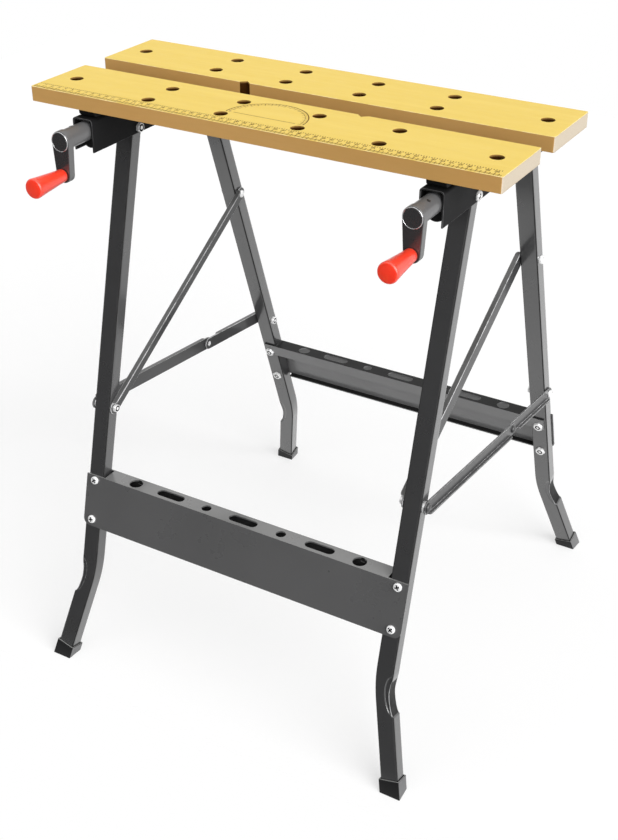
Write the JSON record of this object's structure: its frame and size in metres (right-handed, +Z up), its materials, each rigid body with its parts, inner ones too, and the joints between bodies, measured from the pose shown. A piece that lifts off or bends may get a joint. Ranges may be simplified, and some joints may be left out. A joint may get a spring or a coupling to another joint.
{
  "type": "folding workbench",
  "caption": "Folding clamp workbench: two drilled jaw boards on rails, crank-driven screws, splayed folding legs with tool rails.",
  "frame": {"origin": "on the floor under the middle of the footprint", "axes": "+Z up, +X along the jaw boards, -Y towards the side with the cranks"},
  "size_m": [0.605, 0.628, 0.78],
  "materials": {
    "board": "pressed board with a satin yellow top film",
    "leg_paint": "semi-gloss dark grey powder coat",
    "rail_paint": "semi-gloss black paint",
    "sheet_paint": "semi-gloss dark grey powder coat",
    "foot_rubber": "matt moulded rubber",
    "black_plastic": "matt moulded plastic",
    "crank_grey": "satin grey paint on a cast crank",
    "grip_red": "glossy red moulded plastic",
    "zinc": "bright zinc plate"
  },
  "bodies": {
    "front_frame": {"right_front_leg": "leg_paint", "left_front_leg": "leg_paint", "right_front_foot": "foot_rubber", "left_front_foot": "foot_rubber", "right_front_upper_screw": "zinc", "left_front_upper_screw": "zinc", "right_front_lower_screw": "zinc", "left_front_lower_screw": "zinc", "right_front_link_bolt": "zinc", "left_front_link_bolt": "zinc", "front_tool_rail": "sheet_paint"},
    "top": {"front_jaw_board": "board", "right_rail": "rail_paint", "left_rail": "rail_paint", "right_front_bracket": "rail_paint", "left_front_bracket": "rail_paint", "right_screw_bush": "black_plastic", "left_screw_bush": "black_plastic", "right_front_pivot_bolt": "zinc", "left_front_pivot_bolt": "zinc", "right_rear_pivot_bolt": "zinc", "left_rear_pivot_bolt": "zinc"},
    "rear_frame": {"right_rear_leg": "leg_paint", "left_rear_leg": "leg_paint", "right_rear_foot": "foot_rubber", "left_rear_foot": "foot_rubber", "right_rear_upper_screw": "zinc", "left_rear_upper_screw": "zinc", "right_rear_lower_screw": "zinc", "left_rear_lower_screw": "zinc", "right_stay_rear_nut": "zinc", "left_stay_rear_nut": "zinc", "right_diagonal_nut": "zinc", "left_diagonal_nut": "zinc", "rear_tool_rail": "sheet_paint"},
    "rear_jaw": {"rear_jaw_board": "board", "right_jaw_carriage": "black_plastic", "left_jaw_carriage": "black_plastic"},
    "right_diagonal": {"right_diagonal": "sheet_paint", "right_diagonal_bolt": "zinc"},
    "right_front_stay": {"right_front_stay": "sheet_paint", "right_stay_rivet": "zinc"},
    "right_rear_stay": {"right_rear_stay": "sheet_paint", "right_stay_rear_bolt": "zinc"},
    "right_crank": {"right_crank": "crank_grey", "right_lead_screw": "zinc"},
    "right_grip": {"right_crank_knob": "grip_red"},
    "left_diagonal": {"left_diagonal": "sheet_paint", "left_diagonal_bolt": "zinc"},
    "left_front_stay": {"left_front_stay": "sheet_paint", "left_stay_rivet": "zinc"},
    "left_rear_stay": {"left_rear_stay": "sheet_paint", "left_stay_rear_bolt": "zinc"},
    "left_crank": {"left_crank": "crank_grey", "left_lead_screw": "zinc"},
    "left_grip": {"left_crank_knob": "grip_red"}
  },
  "joints": [
    {"name": "top_fold", "type": "hinge", "parent": "front_frame", "child": "top", "pos_m": [0, -0.1175, 0.72], "axis": [1, 0, 0], "range_deg": [0, 52]},
    {"name": "rear_fold", "type": "hinge", "parent": "top", "child": "rear_frame", "pos_m": [0, 0.0485, 0.72], "axis": [1, 0, 0], "range_deg": [-71.95, 0]},
    {"name": "jaw_slide", "type": "slide", "parent": "top", "child": "rear_jaw", "axis": [0, 1, 0], "range_m": [-0.0375, 0.06]},
    {"name": "right_diagonal_fold", "type": "hinge", "parent": "front_frame", "child": "right_diagonal", "pos_m": [0.227, -0.20828, 0.36647], "axis": [1, 0, 0], "range_deg": [0, 27.01]},
    {"name": "right_front_stay_fold", "type": "hinge", "parent": "front_frame", "child": "right_front_stay", "pos_m": [0.227, -0.20828, 0.36647], "axis": [1, 0, 0], "range_deg": [0, 57.17]},
    {"name": "right_rear_stay_fold", "type": "hinge", "parent": "right_front_stay", "child": "right_rear_stay", "pos_m": [0.227, 0.04931, 0.33877], "axis": [1, 0, 0], "range_deg": [-130.25, 0]},
    {"name": "right_crank_turn", "type": "hinge", "parent": "top", "child": "right_crank", "pos_m": [0.227, -0.21, 0.737], "axis": [0, 1, 0], "range_deg": [-4321, 2701]},
    {"name": "right_grip_spin", "type": "hinge", "parent": "right_crank", "child": "right_grip", "pos_m": [0.227, -0.275, 0.697], "axis": [0, 1, 0], "continuous": true},
    {"name": "left_diagonal_fold", "type": "hinge", "parent": "front_frame", "child": "left_diagonal", "pos_m": [-0.227, -0.20828, 0.36647], "axis": [1, 0, 0], "range_deg": [0, 27.01]},
    {"name": "left_front_stay_fold", "type": "hinge", "parent": "front_frame", "child": "left_front_stay", "pos_m": [-0.227, -0.20828, 0.36647], "axis": [1, 0, 0], "range_deg": [0, 57.17]},
    {"name": "left_rear_stay_fold", "type": "hinge", "parent": "left_front_stay", "child": "left_rear_stay", "pos_m": [-0.227, 0.04931, 0.33877], "axis": [1, 0, 0], "range_deg": [-130.25, 0]},
    {"name": "left_crank_turn", "type": "hinge", "parent": "top", "child": "left_crank", "pos_m": [-0.227, -0.21, 0.737], "axis": [0, 1, 0], "range_deg": [-4321, 2701]},
    {"name": "left_grip_spin", "type": "hinge", "parent": "left_crank", "child": "left_grip", "pos_m": [-0.227, -0.275, 0.697], "axis": [0, 1, 0], "continuous": true}
  ],
  "couplings": [
    {"joint": "rear_fold", "follows": "top_fold", "ratio": -1.3834},
    {"joint": "right_diagonal_fold", "follows": "top_fold", "ratio": 0.51926},
    {"joint": "right_front_stay_fold", "follows": "top_fold", "ratio": 1.0992},
    {"joint": "right_rear_stay_fold", "follows": "top_fold", "ratio": -2.5046},
    {"joint": "right_crank_turn", "follows": "jaw_slide", "rad_per_m": -1256.6},
    {"joint": "left_diagonal_fold", "follows": "top_fold", "ratio": 0.51926},
    {"joint": "left_front_stay_fold", "follows": "top_fold", "ratio": 1.0992},
    {"joint": "left_rear_stay_fold", "follows": "top_fold", "ratio": -2.5046},
    {"joint": "left_crank_turn", "follows": "jaw_slide", "rad_per_m": -1256.6}
  ]
}
